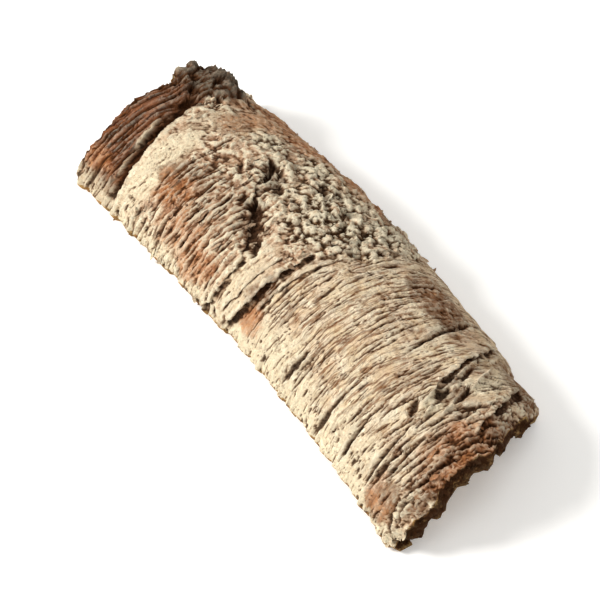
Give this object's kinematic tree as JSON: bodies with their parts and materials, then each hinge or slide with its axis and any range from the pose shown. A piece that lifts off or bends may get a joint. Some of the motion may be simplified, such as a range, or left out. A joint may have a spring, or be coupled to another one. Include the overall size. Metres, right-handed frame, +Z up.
{
  "type": "cork bark slab",
  "caption": "Curved half-round slab of virgin cork bark with a weathered outer face, a granular hollow and two broken ends, lying on its long edges.",
  "frame": {"origin": "middle of the footprint, on the surface that the slab lies on", "axes": "+X along the slab towards its slanted end, +Y across it towards the side that it bows to, +Z up"},
  "size_m": [0.1794, 0.071, 0.0285],
  "materials": {
    "bark": "matt, rough and cracked, pale weathered outside with raw golden-brown cork inside"
  },
  "bodies": {
    "root": {"cork_bark_slab": "bark"}
  },
  "joints": []
}
